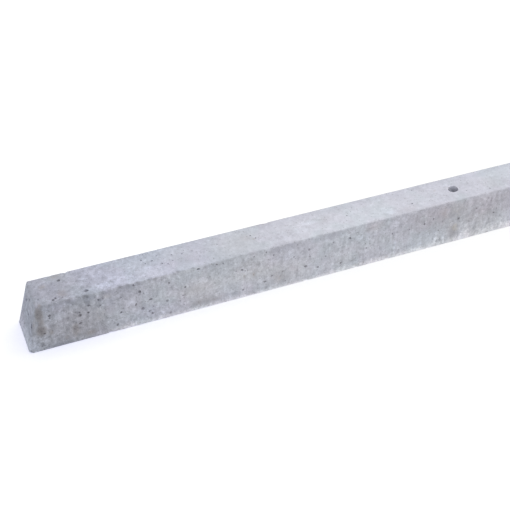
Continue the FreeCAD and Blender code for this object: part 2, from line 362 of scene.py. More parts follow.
class Face:
    """One flat face of the casting before wear, with flat coordinates of its own."""

    def __init__(self, name):
        self.name = name
        self.keys = FACE_CORNERS[name]
        ring = [corner(*key) for key in self.keys]
        self.origin = ring[0]
        self.right = (ring[1] - ring[0]) / np.linalg.norm(ring[1] - ring[0])
        across = np.cross(self.right, ring[3] - ring[0])
        self.normal = across / np.linalg.norm(across)
        self.up = np.cross(self.normal, self.right)
        self.left_out = int(np.abs(self.normal).round(3).argmax())
        self.limit = self.origin @ self.normal
        self.ring = self.flat(np.array(ring))

    def flat(self, points):
        """Points in space as flat coordinates of this face."""
        offset = points - self.origin
        return np.stack([offset @ self.right, offset @ self.up], axis=-1)

    def solid(self, flat):
        """Flat coordinates of this face as points in space."""
        return self.origin + flat[:, :1] * self.right + flat[:, 1:] * self.up

    def sides(self):
        """Start, end and inward direction of each side, in flat coordinates."""
        for start, end in zip(self.ring, np.roll(self.ring, -1, axis=0)):
            along = (end - start) / np.linalg.norm(end - start)
            yield start, end, np.array([-along[1], along[0]])

    def edge_distances(self, flat):
        """Distance of each flat point inwards from each of the four sides."""
        return np.stack([(flat - start) @ inward for start, _, inward in self.sides()], axis=-1)

    def spot(self, first, second):
        """The point in space of a place that is read on this face, which leaves out one coordinate."""
        point = np.insert(np.array([first, second], float), self.left_out, 0.0)
        point[self.left_out] = (self.origin - point) @ self.normal / self.normal[self.left_out]
        return point

    def place(self, first, second):
        """The same place in flat coordinates."""
        return self.flat(self.spot(first, second)[None])[0]


FACES = {name: Face(name) for name in FACE_CORNERS}


def bolt_holes():
    """Place along the post and radius of each bolt hole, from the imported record's mounts."""
    mounts = frame["record"]["mounts"]
    return [(m["pos_m"][0] / MM + LENGTH / 2, m["dims"]["r_mm"]) for m in mounts if m["kind"] == "bore"]


HOLES = bolt_holes()


class Cast:
    """The points and triangles of the casting as it is put together."""

    def __init__(self):
        self.points = []
        self.drops = []
        self.voids = []
        self.triangles = []

    def add(self, point, drop=0.0, void=0.0):
        """Adds one point and returns its number.

        drop is how far it lies under the surface. void is painted shade, 1 in the dark of an air void, and
        painted light below 0 where a bolt hole's wall is pale.
        """
        self.points.append(point)
        self.drops.append(drop)
        self.voids.append(void)
        return len(self.points) - 1


def edge_points(cast, rng):
    """Points along the twelve edges, shared by the faces that meet there."""
    keys = dict.fromkeys(key for edge in EDGES for key in edge)
    corners = {key: cast.add(corner(*key)) for key in keys}
    edges = {}
    for first, last in EDGES:
        start, end = corner(*first), corner(*last)
        count = round(np.linalg.norm(end - start) / EDGE_STEP)
        inner = []
        for k in range(1, count):
            share = (k + rng.uniform(-JITTER, JITTER)) / count
            inner.append(cast.add(start + (end - start) * share))
        edges[first, last] = [corners[first], *inner, corners[last]]
        edges[last, first] = edges[first, last][::-1]
    return edges


def jitters(rng, count):
    """This many small random shifts, as shares of a step."""
    return np.array([rng.uniform(-JITTER, JITTER) for _ in range(count)])


def row_points(face, rng):
    """Rows of points beside each side of a face, closest together at the edge."""
    rows = []
    for i, (start, end, inward) in enumerate(face.sides()):
        for inset, step in ROWS:
            count = round(np.linalg.norm(end - start) / step)
            spots = (np.arange(count) + (0.5 + jitters(rng, count))) / count
            depth = inset * (1 + jitters(rng, count))
            row = start + spots[:, None] * (end - start) + depth[:, None] * inward
            others = np.delete(face.edge_distances(row), i, axis=1).min(axis=1)
            rows.append(row[others > depth + 0.5 * step])
    return np.concatenate(rows)


def lattice_points(face, rng):
    """A loose triangular lattice of points over the middle of a face."""
    low, high = face.ring.min(axis=0), face.ring.max(axis=0)
    points = []
    row_step = LATTICE_STEP * math.sqrt(3) / 2
    for j in range(math.ceil((high[1] - low[1]) / row_step)):
        shift = 0.5 * (j % 2)
        for i in range(math.ceil((high[0] - low[0]) / LATTICE_STEP)):
            across = (i + shift + rng.uniform(-JITTER, JITTER)) * LATTICE_STEP
            up = j * row_step + rng.uniform(-JITTER, JITTER) * LATTICE_STEP
            points.append((low[0] + across, low[1] + up))
    points = np.array(points)
    return points[face.edge_distances(points).min(axis=1) > LATTICE_MARGIN]


def skewed(rng, smallest, largest, skew):
    """A random size, more often small than large."""
    return smallest + (largest - smallest) * rng.random() ** skew


def mouths_on(face):
    """Place along the post and radius of each bolt hole that opens in a face."""
    return HOLES if face.name in LEVEL_FACES else []


def face_voids(face, rng):
    """Every void of a face: those listed, then small ones strewn where there is room."""
    voids = [(face.place(first, second), radius) for first, second, radius in VOIDS.get(face.name, [])]
    mouths = [(face.place(x, 0.0), radius + MOUTH_MARGIN) for x, radius in mouths_on(face)]
    density, smallest, largest = SMALL_VOIDS[face.name]
    low, high = face.ring.min(axis=0), face.ring.max(axis=0)
    for _ in range(int(density * np.prod(high - low) / SQUARE_CM)):
        spot = np.array([rng.uniform(*span) for span in zip(low, high)])
        radius = skewed(rng, smallest, largest, VOID_SKEW)
        margin = face.edge_distances(spot[None]).min()
        taken = any(math.dist(spot, other) < radius + size + VOID_GAP for other, size in voids + mouths)
        if margin > radius + VOID_MARGIN and not taken:
            voids.append((spot, radius))
    return voids


class Inside:
    """The points inside one face (flat place, drop and void, the painted shade or light), and the loops of
    them that stay edges.
    """

    def __init__(self):
        self.points = []
        self.loops = []

    def add_ring(self, places, drop=0.0, void=0.0, closed=False):
        """Adds places with one drop and void; a closed ring of them stays as edges."""
        first = len(self.points)
        self.points += [(*place, drop, void) for place in places]
        if closed:
            self.loops.append(list(range(first, len(self.points))))


def add_void(inside, spot, radius, rng):
    """Sinks one air void: a ragged round rim with a steep wall and a rounded floor."""
    depth = radius * rng.uniform(*VOID_DEPTH)
    stretch = rng.uniform(*VOID_STRETCH)
    turn = rng.uniform(0, math.pi)
    lumps = [rng.uniform(*VOID_LUMP) for _ in range(LUMP_COUNT)]
    base, growth = VOID_SHADE
    rings = TINY_VOID_RINGS if radius < TINY_VOID else VOID_RINGS
    for share, sunk, count in rings:
        ring = []
        for k in range(count):
            angle = 2 * math.pi * k / count
            along = radius * share * lumps[k] * stretch * math.cos(angle)
            across = radius * share * lumps[k] / stretch * math.sin(angle)
            ring.append((
                spot[0] + along * math.cos(turn) - across * math.sin(turn),
                spot[1] + along * math.sin(turn) + across * math.cos(turn),
            ))
        # Painted shade in the void, darker deeper down and in larger voids
        dark = min(1.0, VOID_DARKENING * sunk) * min(1.0, base + growth * radius)
        inside.add_ring(ring, depth * sunk, dark, closed=sunk == 0)


def lip(turn):
    """Width of a bolt hole's worn lip at an angle round it."""
    return MOUTH_LIP + LIP_WEAR * np.maximum(0, -np.cos(turn)) ** 2


def mouth_ring(face, x, reach):
    """A ring round a bolt hole on a face, in flat coordinates; reach is its radius at each turn."""
    ring = np.stack([x + reach * np.cos(HOLE_TURNS), reach * np.sin(HOLE_TURNS)], axis=-1)
    level = np.full((HOLE_SIDES, 1), face.origin[2])
    return face.flat(np.concatenate([ring, level], axis=1))


def clear_of(points, spots):
    """The points that lie outside every spot, given as place and clearance."""
    keep = np.ones(len(points), bool)
    for spot, clearance in spots:
        keep &= np.hypot(*(points - spot).T) > clearance
    return points[keep]


def fill_face(face, rng):
    """All the flat points inside a face: rows, lattice, voids and the rims of the bolt holes."""
    inside = Inside()
    voids = face_voids(face, rng)
    share, gap = VOID_CLEARANCE
    loose = np.concatenate([row_points(face, rng), lattice_points(face, rng)])
    loose = clear_of(loose, [(spot, share * radius + gap) for spot, radius in voids])
    mouths = []
    for x, radius in mouths_on(face):
        reach = radius + lip(HOLE_TURNS)
        loose = clear_of(loose, [(face.place(x, 0.0), reach.max() + LIP_CLEARANCE)])
        inside.add_ring(mouth_ring(face, x, reach), closed=True)
        mouths.append(inside.loops[-1])
        inside.add_ring(mouth_ring(face, x, reach + OUTER_RING))
    inside.add_ring(loose)
    for spot, radius in voids:
        add_void(inside, spot, radius, rng)
    return inside, mouths


def triangulate(cast, face, edges, rng):
    """Covers a face with triangles that keep its edges and rims; returns the rims of the bolt holes."""
    inside, mouths = fill_face(face, rng)
    sides = [edges[pair] for pair in pairs_round(face.keys)]
    border = [i for side in sides for i in side[:-1]]
    count = len(border)
    inner, drops, voids = np.split(np.array(inside.points), [2, 3], axis=1)
    flat = np.concatenate([face.flat(np.array([cast.points[i] for i in border])), inner])
    ids = border + [cast.add(*made) for made in zip(face.solid(inner), drops[:, 0], voids[:, 0])]
    fixed = pairs_round(list(range(count)))
    for loop in inside.loops:
        fixed += [(count + a, count + b) for a, b in pairs_round(loop)]
    made = delaunay_2d_cdt([Vector(p) for p in flat], fixed, [], 0, SAME_POINT)
    places, triangles, sources = made[0], made[2], made[3]
    names = []
    for place, source in zip(places, sources):
        if source:
            names.append(ids[source[0]])
        else:
            names.append(cast.add(face.solid(np.array([place]))[0]))
    rims = [[ids[count + i] for i in loop] for loop in mouths]
    # A triangle with all its corners on one side or one rim is a sliver, or covers a bolt hole
    bounds = [set(line) for line in rims + sides]
    for triangle in triangles:
        corners = {names[i] for i in triangle}
        if not any(corners <= bound for bound in bounds):
            cast.triangles.append([names[i] for i in triangle])
    return rims


def wall_ring(cast, x, reach, level, void):
    """One ring of points on a bolt hole's rough wall; reach, level and void, the painted shade or light, go
    by turn.
    """
    ring = []
    for turn, size, height, dark in np.broadcast(HOLE_TURNS, reach, level, void):
        way = np.array([math.cos(turn), math.sin(turn)])
        spot = Vector((x + WALL_NOISE_RADIUS * way[0], WALL_NOISE_RADIUS * way[1], height))
        size += WALL_ROUGHNESS * noise.noise(spot / WALL_LUMP)
        ring.append(cast.add(np.array([x + size * way[0], size * way[1], height]), void=dark))
    return ring


def hole_wall(cast, x, radius, upper, lower):
    """Lines one bolt hole between its rims, whose points lie one under the other."""
    lips = lip(HOLE_TURNS)
    # Painted light on the wall round one turn, and painted shade towards the top of the post, where light
    # falls into the hole and where it doesn't
    pale = -np.maximum(0, np.cos(HOLE_TURNS - PAINTED_LIGHT_TURN)) ** 2
    dark = PAINTED_WALL_SHADE * np.maximum(0, np.cos(HOLE_TURNS))
    top = DEPTH - worn_away(np.array([cast.points[i] for i in upper]))
    bottom = worn_away(np.array([cast.points[i] for i in lower]))
    rings = [upper]
    for share, sunk in LIP_PROFILE:
        rings.append(wall_ring(cast, x, radius + share * lips, top - LIP_SLOPE * sunk * lips, pale))
    for level in np.linspace(DEPTH - WALL_STEP, WALL_STEP, round(DEPTH / WALL_STEP) - 1):
        rings.append(wall_ring(cast, x, radius, level, dark + pale))
    for share, sunk in reversed(LIP_PROFILE):
        rings.append(wall_ring(cast, x, radius + share * lips, bottom + LIP_SLOPE * sunk * lips, pale))
    rings.append(lower)
    for above, below in zip(rings, rings[1:]):
        for (a, b), (c, d) in zip(pairs_round(above), pairs_round(below)):
            cast.triangles += [[a, b, d], [a, d, c]]


def worn_radius(first, last):
    """Radius that one edge is worn to."""
    if first[2] != last[2]:
        return CORNER_RADIUS
    if first[2] == 0:
        return TROWELLED_RADIUS
    return FOOT_ARRIS_RADIUS if first[0] == last[0] == 0 else ARRIS_RADIUS


def edge_radius(points):
    """Radius that the nearest edges are worn to, at each point."""
    total = np.zeros(len(points))
    weight = np.zeros(len(points))
    for first, last in map(sorted, EDGES):
        start, end = corner(*first), corner(*last)
        share = np.clip((points - start) @ (end - start) / np.sum((end - start) ** 2), 0, 1)
        gap = np.linalg.norm(points - start - share[:, None] * (end - start), axis=1)
        near = 1 / (gap + RADIUS_BLEND) ** 4
        total += near * worn_radius(first, last)
        weight += near
    return total / weight


def rounded(points):
    """Points moved from the sharp casting onto the worn one, and the way out of the surface at each."""
    radius = edge_radius(points)
    core = points.copy()
    carry = {name: np.zeros(points.shape) for name in FACES}
    for _ in range(ROUNDING_TURNS):
        for name, face in FACES.items():
            trial = core + carry[name]
            over = np.maximum(trial @ face.normal - (face.limit - radius), 0)
            core = trial - over[:, None] * face.normal
            carry[name] = trial - core
    out = points - core
    out /= np.linalg.norm(out, axis=1)[:, None]
    return core + radius[:, None] * out, out


def waves(points, length, seed):
    """Smooth noise from 0 to 1 at each point, with swells about this long."""
    shift = Vector([step * seed for step in SEED_STEP])
    return np.array([0.5 + 0.5 * noise.noise(Vector(p) / length + shift) for p in points])


def smooth(low, high, value):
    """0 below low, 1 above high, with an even ramp between them."""
    share = np.clip((value - low) / (high - low), 0, 1)
    return share * share * (3 - 2 * share)


def between(rise, fall, value):
    """1 from the end of the rise to the start of the fall, and 0 outside both spans."""
    return smooth(*rise, value) * (1 - smooth(*fall, value))


def by_table(table, value):
    """Straight lines through a table's places and amounts."""
    return np.interp(value, list(table), list(table.values()))


def nearest_edge(points):
    """Distance of each point on the surface to the nearest edge of the casting."""
    depths = np.stack([face.limit - points @ face.normal for face in FACES.values()])
    return np.sort(depths, axis=0)[1]


def worn_away(points):
    """How far each surface point lies under the ideal one: swells, ripples, wandering edges and chips."""
    gap = nearest_edge(points)
    inner = smooth(0, EDGE_ZONE, gap)
    lost = SWELL_DEPTH * waves(points, *SWELL_WAVES) * inner
    lost += RIPPLE_DEPTH * waves(points, *RIPPLE_WAVES) * inner
    lost += EDGE_WOBBLE * waves(points, *WOBBLE_WAVES) ** 2 * (1 - smooth(0, WOBBLE_ZONE, gap))
    return np.maximum(lost, chipped_off(points))


def chipped_off(points):
    """How deep the chips on the edges go at each point."""
    lost = np.zeros(len(points))
    raggedness = 0.6 + 0.8 * waves(points, *CHIP_WAVES)
    for x, y, z, half, reach, depth in CHIPS:
        offset = points - np.array([x, y, z])
        far = np.sqrt((offset[:, 0] / half) ** 2 + (offset[:, 1] ** 2 + offset[:, 2] ** 2) / reach ** 2)
        lost = np.maximum(lost, depth * np.clip(CHIP_STEEPNESS * (1 - far * raggedness), 0, 1))
    return lost


def chip_shade(points):
    """Painted shade in the chips of the moulded face's arrises, in ragged patches."""
    high = smooth(*CHIP_SHADE_SPAN, points[:, 2])
    return np.clip(CHIP_SHADE * high * chipped_off(points) * waves(points, *CHIP_SHADE_WAVES), 0, 1)


def strewn_marks(kind, rng):
    """Marks of one kind over the faces and lengths that the photograph doesn't show."""
    per_metre, smallest, largest, strength = kind
    marks = []
    for name, (low, high) in UNSEEN.items():
        span = STREWN_ON_LEVEL if name in LEVEL_FACES else STREWN_ON_SIDE
        for _ in range(round(per_metre * (high - low) * MM)):
            across = rng.uniform(*span)
            sizes = [skewed(rng, smallest, largest, STREWN_SKEW) for _ in range(2)]
            x = rng.uniform(low, high)
            marks.append((name, x, across, *sizes, strength * rng.uniform(*STREWN_SWING)))
    return marks


def mark_mask(points, marks):
    """How strongly a list of marks shows at each point, from 0 to a little over 1."""
    mask = np.zeros(len(points))
    for name, first, second, half_length, half_height, strength in marks:
        face = FACES[name]
        offset = points - face.spot(first, second)
        far = (offset @ face.right / half_length) ** 2 + (offset @ face.up / half_height) ** 2
        far += (offset @ face.normal / MARK_REACH) ** 2
        mask = np.maximum(mask, strength * (1 - smooth(*MARK_FADE, np.sqrt(far))))
    return mask


def mark_masks(points):
    """The mask of every kind of mark, placed and strewn."""
    rng = random.Random(MARK_SEED)
    masks = {}
    for kind, (placed, strewn) in MARKS.items():
        marks = [(name, *mark) for name, group in placed.items() for mark in group]
        masks[kind] = mark_mask(points, marks + strewn_marks(strewn, rng))
    return masks


# Tones of the surface. Tables give an amount at places along the post (x) or heights (z), and spans say where
# along it, across it or up it a tone comes or goes
FOOT_DARK_LIMIT = 125.0
FOOT_DARK_WANDER = 60.0
FOOT_DARK_FADE = (-85.0, 130.0)
ARRIS_SHADE = 0.5
ARRIS_BAND = (58, 68), (72, 74.5)
ARRIS_PATCHES = (0.35, 0.7)
LINE_START = (90, 150)
LINE_WIDTHS = {150: 11.0, 215: 8.5, 260: 7.0, 440: 6.2, 530: 11.5, 700: 12.0}
RUNS_START = (595, 655)
RUNS_BREAK = (660, 669), (688, 694)
RUN_LEVELS = {0: 0.0, 5: 0.2, 10: 0.44, 16: 0.36, 24: 0.22}
RUN_SQUASH = (1, 1, 0.05)
DRIPS = (0.3, 0.7)
LEVEL_SHADE = {180: 0.0, 230: 0.34, 350: 0.24, 430: 0.03, 580: 0.06, 660: 0.18}
BACK_SHADE = 0.27
FLANK_SHADE = 0.27
SIDE_TURN = (0.35, 0.8)
FOOT_TURN = (0.6, 0.9)


def foot_darkening(points):
    """The darker part of the post towards the foot, which fades out with a wandering limit."""
    limit = FOOT_DARK_LIMIT + FOOT_DARK_WANDER * (waves(points, *FOOT_WAVES) - 0.5)
    start, end = FOOT_DARK_FADE
    return 1 - smooth(limit + start, limit + end, points[:, 0])


def arris_shade(points, side):
    """Painted shade in a darker band under the long arrises, patchy along the post."""
    patches = smooth(*ARRIS_PATCHES, waves(points, *ARRIS_WAVES))
    return ARRIS_SHADE * side * between(*ARRIS_BAND, points[:, 2]) * patches


def pale_edge_and_floor_light(points, side):
    """The soft pale line along the trowelled edges: partly cement, partly painted light bounced up from the
    floor.
    """
    x, _, z = points.T
    line = by_table(LINE_WIDTHS, x) * (0.7 + 0.6 * waves(points, *LINE_WAVES))
    return side * smooth(*LINE_START, x) * (1 - smooth(0, line, z))


def laitance(points, side):
    """The ragged runs of pale cement that stand on that line towards the top of the post."""
    x, _, z = points.T
    runs = 15.0 + 20.0 * smooth(*DRIPS, waves(points * RUN_SQUASH, *DRIP_WAVES))
    where = smooth(*RUNS_START, x) * (1 - between(*RUNS_BREAK, x))
    return side * by_table(RUN_LEVELS, z) * where * (1 - smooth(0.7 * runs, runs, z))


def level_shade(x, y):
    """How dark the moulded and trowelled faces are, more so along the back edge."""
    level = by_table(LEVEL_SHADE, x)
    return level + BACK_SHADE * smooth(10, 24, y) * smooth(90, 200, x) * (1 - 2 * level)


def flank_shade(x, z):
    """How dark the sides are: most in their upper half, less so at the top of it past the lower bolt hole."""
    upper = smooth(28, 58, z) * smooth(90, 160, x)
    upper *= 1 - 0.55 * smooth(690, 745, x) * smooth(54, 64, z)
    far = 0.08 + 0.14 * between((16, 30), (46, 60), z) - 0.10 * smooth(58, 66, z)
    return FLANK_SHADE * upper + smooth(540, 660, x) * far


def shade(points, side, foot):
    """How dark the grey is: most at the foot, though less so low and high on its end."""
    x, y, z = points.T
    pale_on_foot = foot * (0.55 * (1 - smooth(8, 28, z)) + 0.4 * smooth(52, 66, z))
    ends = foot_darkening(points) * (1 - 0.15 * foot - pale_on_foot)
    return np.clip(ends + level_shade(x, y) * (1 - side) + flank_shade(x, z) * side, 0, 1)


def coolness(points, side, foot):
    """Where the grey turns blue: the foot's end, the moulded face near it and low on the sides."""
    x, _, z = points.T
    level = 0.9 * between((60, 130), (210, 340), x)
    flank = 0.6 * (1 - smooth(20, 40, z)) * smooth(130, 170, x) * (1 - 0.8 * smooth(330, 440, x))
    return np.clip(foot + level * (1 - side) + flank * side, 0, 1)


def streakiness(points, side, foot):
    """How strongly upright streaks show: least on the foot's end and high on the sides towards the top."""
    x, _, z = points.T
    along = 1.0 - 0.4 * smooth(90, 240, x) + 0.5 * smooth(420, 640, x)
    upper = 1 - 0.4 * smooth(560, 640, x) * smooth(34, 52, z)
    return side * along * upper * (1 - 0.85 * foot)


def graininess(points, side):
    """How strongly the cement's own unevenness shows: most on the sides of the foot."""
    x = points[:, 0]
    flank = 0.15 * side * (1 - smooth(80, 160, x))
    level = (1 - side) * (0.15 + 0.15 * smooth(100, 150, x) + 0.12 * smooth(200, 420, x))
    return 1.0 + flank - level - 0.22 * smooth(150, 320, x)


def surface_masks(points, out, hollows):
    """Every mask that the material reads, by name.

    out is the way out of the surface at each point. hollows is painted shade above 0, in voids and chips, and
    painted light below 0, where a bolt hole's wall is pale.
    """
    side = 1 - smooth(*SIDE_TURN, np.abs(out[:, 2]))
    foot = smooth(*FOOT_TURN, -out[:, 0])
    painted_wall_light = np.clip(-hollows, 0, 1)
    masks = mark_masks(points)
    # Painted light on the bolt holes' walls also lifts the pale mask
    masks["pale"] = np.maximum(masks["pale"], 0.5 * painted_wall_light)
    # Painted shade under the long arrises joins the dark marks
    masks["damp_and_shade"] = np.maximum(masks["damp_and_shade"], arris_shade(points, side))
    # Painted shade in voids, chips and the bolt holes' walls
    masks["void"] = np.maximum(hollows, 0)
    masks["streaks"] = streakiness(points, side, foot)
    masks["grain"] = graininess(points, side)
    masks["darkness"] = shade(points, side, foot)
    masks["cool"] = coolness(points, side, foot)
    masks["skin"] = laitance(points, side)
    # The pale line along the trowelled edges, partly painted floor light, and the painted light on the bolt
    # holes' walls
    masks["edge"] = np.maximum(pale_edge_and_floor_light(points, side), painted_wall_light)
    return masks


# The mesh's colour attributes, and the masks that each holds
ATTRIBUTES = {
    "stains": ("brown", "pale", "damp_and_shade"),
    "tints": ("warm", "ochre", "void"),
    "finish": ("streaks", "grain", "darkness"),
    "skin": ("skin", "edge", "cool"),
    "blush": ("blush",),
}


def write_masks(mesh, masks):
    """Stores the masks on the mesh's points as colour attributes."""
    for attribute, names in ATTRIBUTES.items():
        layer = mesh.color_attributes.new(attribute, "FLOAT_COLOR", "POINT")
        colours = np.ones((len(mesh.vertices), 4), np.float32)
        colours[:, :3] = np.stack([masks[name] for name in names], axis=1)
        layer.data.foreach_set("color", colours.ravel())


def build_mesh(name):
    """The whole casting as one closed mesh with its masks, in metres in the part's frame."""
    rng = random.Random(SHAPE_SEED)
    cast = Cast()
    edges = edge_points(cast, rng)
    rims = {}
    for face_name, face in FACES.items():
        rims[face_name] = triangulate(cast, face, edges, rng)
    outside = len(cast.points)
    for (x, radius), upper, lower in zip(HOLES, rims["moulded"], rims["trowelled"]):
        hole_wall(cast, x, radius, upper, lower)
    points = np.array(cast.points)
    # Painted shade of voids, chips and the bolt holes' walls, and painted light on those walls below 0
    hollows = np.array(cast.voids) + chip_shade(points)
    ways = np.zeros_like(points)
    shell, ways[:outside] = rounded(points[:outside])
    drop = np.array(cast.drops[:outside]) + worn_away(points[:outside])
    points[:outside] = shell - drop[:, None] * ways[:outside]
    mesh = bpy.data.meshes.new(name)
    mesh.from_pydata((points - np.array([LENGTH / 2, 0, 0])) * MM, [], cast.triangles)
    mesh.set_sharp_from_angle(angle=SHARP_ANGLE)
    write_masks(mesh, surface_masks(points, ways, hollows))
    return mesh


class Graph:
    """Adds shader nodes to a material or world and joins them."""

    def __init__(self, owner):
        owner.use_nodes = True
        self.nodes = owner.node_tree.nodes
        self.links = owner.node_tree.links

    def feed(self, socket, value):
        """Joins a socket to another, or sets it to a plain value."""
        if isinstance(value, bpy.types.NodeSocket):
            self.links.new(value, socket)
        else:
            socket.default_value = value

    def add(self, kind, inputs, **settings):
        """Adds a node; inputs go by socket name or number."""
        node = self.nodes.new(kind)
        for name, value in settings.items():
            setattr(node, name, value)
        for name, value in inputs.items():
            self.feed(node.inputs[name], value)
        return node

    def masks(self):
        """Every mask that the mesh's colour attributes hold, by name."""
        masks = {}
        for attribute, names in ATTRIBUTES.items():
            colour = self.add("ShaderNodeAttribute", {}, attribute_name=attribute).outputs["Color"]
            channels = self.add("ShaderNodeSeparateColor", {"Color": colour}).outputs
            masks.update(zip(names, channels))
        return masks

    def place(self):
        """Places in the object's own space."""
        return self.add("ShaderNodeTexCoord", {}).outputs["Object"]

    def noise(self, place, scale, detail, roughness):
        """Noise from 0 to 1 with this many swells to a metre."""
        inputs = {"Vector": place, "Scale": scale, "Detail": detail, "Roughness": roughness}
        return self.add("ShaderNodeTexNoise", inputs).outputs["Fac"]

    def math(self, operation, *values):
        """The result of one sum."""
        return self.add("ShaderNodeMath", dict(enumerate(values)), operation=operation).outputs[0]

    def spread(self, value, amount, base=0.0):
        """A noise turned to swing round base, by half of amount to each side at most."""
        return self.math("MULTIPLY_ADD", value, amount, base - amount / 2)

    def ramp(self, value, low, high, start=0.0, end=1.0):
        """A soft step from start to end while value goes from low to high."""
        inputs = {"Value": value, "From Min": low, "From Max": high, "To Min": start, "To Max": end}
        return self.add("ShaderNodeMapRange", inputs, interpolation_type="SMOOTHSTEP").outputs[0]

    def mix(self, factor, first, second, blend="MIX"):
        """Mixes two colours by a factor."""
        inputs = {0: factor, 6: first, 7: second}
        return self.add("ShaderNodeMix", inputs, data_type="RGBA", blend_type=blend).outputs[2]

    def dye(self, colour, factor, tint):
        """Multiplies a colour by a tint, as strongly as the factor says."""
        return self.mix(factor, colour, (*tint, 1.0), "MULTIPLY")


# Colours of the concrete, as shares of light sent back: the plain cement, and what its hues, its flecks and
# then each layer on it, in this order, make of that
CEMENT = (0.617, 0.638, 0.701)
MAUVE = (1.012, 0.986, 1.0)
SLATE = (0.988, 1.004, 0.998)
PALE_FLECK = (1.17, 1.17, 1.17)
DARK_FLECK = (0.82, 0.82, 0.83)
TINTS = {
    # Darker, cooler grey, most towards the foot and where the tone tables say
    "darkness": (0.725, 0.73, 0.77),
    "cool": (0.985, 0.998, 1.045),
    # The damp tint darkens stains and the painted shade under the arrises and round voids
    "damp_and_shade": (0.76, 0.765, 0.785),
    "warm": (0.935, 0.90, 0.89),
    # The pale tint also carries painted light on the bolt holes' walls
    "pale": (1.15, 1.16, 1.18),
    "skin": (1.40, 1.375, 1.32),
    # The edge tint is partly pale cement and partly painted light bounced from the floor, and also paints
    # light on the bolt holes' walls
    "edge": (1.47, 1.44, 1.37),
    "blush": (1.018, 0.987, 0.972),
    "brown": (0.765, 0.71, 0.655),
    "ochre": (0.97, 0.935, 0.83),
    "grit": (0.80, 0.79, 0.78),
    "sand": (1.14, 1.14, 1.12),
    # The pinholes tint is painted shade in the pinholes, which are only bumps
    "pinholes": (0.68, 0.67, 0.66),
    # The void tint is painted shade in voids, chips and the bolt holes' walls
    "void": (0.68, 0.665, 0.655),
}
RAGGED = ("damp_and_shade", "pale", "brown", "ochre")

# Noises of the cement: swells to a metre, detail and roughness. The streak is drawn out upwards
NOISES = {
    "swell": (15, 2, 0.55),
    "blotch": (62, 4, 0.6),
    "mottle": (170, 3, 0.6),
    "speckle": (640, 3, 0.6),
    "fleck": (150, 2, 0.55),
    "hue": (20, 2, 0.55),
}
STREAK_NOISE = (190, 3, 0.55)
STREAK_SQUASH = (1.0, 1.0, 0.12)
TONE_SPREAD = {"swell": 0.20, "blotch": 0.34, "mottle": 0.90, "speckle": 0.66, "streak": 0.50}
RELIEF_SPREAD = {"mottle": 0.8, "speckle": 0.7}
PINHOLE_DEPTH = 0.9
BUMP = {"Strength": 0.6, "Distance": 0.0009}
ROUGHNESS = (0.84, 0.97)
SPECULAR = 0.3

# Scattered dots: cells to a metre, the share of them that hold a dot, and its size
DOTS = {"grit": (330, 0.12, 0.42), "sand": (410, 0.14, 0.45), "pinholes": (150, 0.24, 0.115)}


def cement_noises(graph, place):
    """Every noise that the cement is made of, by name."""
    drawn_out = graph.add("ShaderNodeMapping", {"Vector": place, "Scale": STREAK_SQUASH}).outputs[0]
    noises = {name: graph.noise(place, *kind) for name, kind in NOISES.items()}
    noises["streak"] = graph.noise(drawn_out, *STREAK_NOISE)
    return noises


def cement_tone(graph, noises, streaks, grain):
    """How light the plain cement is at each place, round 1."""
    spreads = {name: graph.spread(noises[name], amount) for name, amount in TONE_SPREAD.items()}
    tone = graph.math("ADD", graph.math("ADD", spreads["swell"], 1.0), spreads["blotch"])
    fine = graph.math("ADD", spreads["mottle"], spreads["speckle"])
    tone = graph.math("MULTIPLY_ADD", fine, grain, tone)
    return graph.math("MULTIPLY_ADD", spreads["streak"], streaks, tone)


def plain_cement(graph, noises, streaks, grain):
    """The unmarked cement: mottled grey that drifts in hue, with pale and dark flecks."""
    tone = cement_tone(graph, noises, streaks, grain)
    colour = graph.add("ShaderNodeVectorMath", {0: CEMENT, "Scale": tone}, operation="SCALE").outputs[0]
    pale = graph.math("MULTIPLY", grain, graph.ramp(noises["fleck"], 0.56, 0.70))
    dark = graph.math("MULTIPLY", grain, graph.ramp(noises["fleck"], 0.43, 0.29))
    colour = graph.dye(colour, graph.ramp(noises["hue"], 0.56, 0.38), MAUVE)
    colour = graph.dye(colour, graph.ramp(noises["hue"], 0.44, 0.62), SLATE)
    colour = graph.dye(colour, pale, PALE_FLECK)
    return graph.dye(colour, dark, DARK_FLECK)


def broken_up(graph, mask, unevenness, full):
    """A soft mask made ragged by an unevenness, which counts in full from this strength of the mask."""
    worn = graph.math("MULTIPLY_ADD", unevenness, graph.ramp(mask, 0.0, full), mask)
    return graph.ramp(worn, 0.05, 0.95)


def ragged(graph, mask, noises):
    """A mark's soft mask broken up by the cement's own unevenness."""
    edge = graph.math("ADD", graph.spread(noises["blotch"], 0.9), graph.spread(noises["mottle"], 0.9))
    return broken_up(graph, mask, edge, 0.3)


def dots(graph, place, scale, share, size):
    """Scattered round dots, 1 in the middle of each."""
    cells = graph.add("ShaderNodeTexVoronoi", {"Vector": place, "Scale": scale})
    chance = graph.add("ShaderNodeSeparateColor", {"Color": cells.outputs["Color"]}).outputs[0]
    chosen = graph.math("LESS_THAN", chance, share)
    return graph.math("MULTIPLY", chosen, graph.ramp(cells.outputs["Distance"], size, size * 0.55))


def relief(graph, noises, pinholes):
    """The fine bumps and pinholes of the surface."""
    bumps = [graph.spread(noises[name], amount) for name, amount in RELIEF_SPREAD.items()]
    sunk = graph.math("MULTIPLY", pinholes, PINHOLE_DEPTH)
    height = graph.math("SUBTRACT", graph.math("ADD", *bumps), sunk)
    return graph.add("ShaderNodeBump", {"Height": height, **BUMP}).outputs[0]


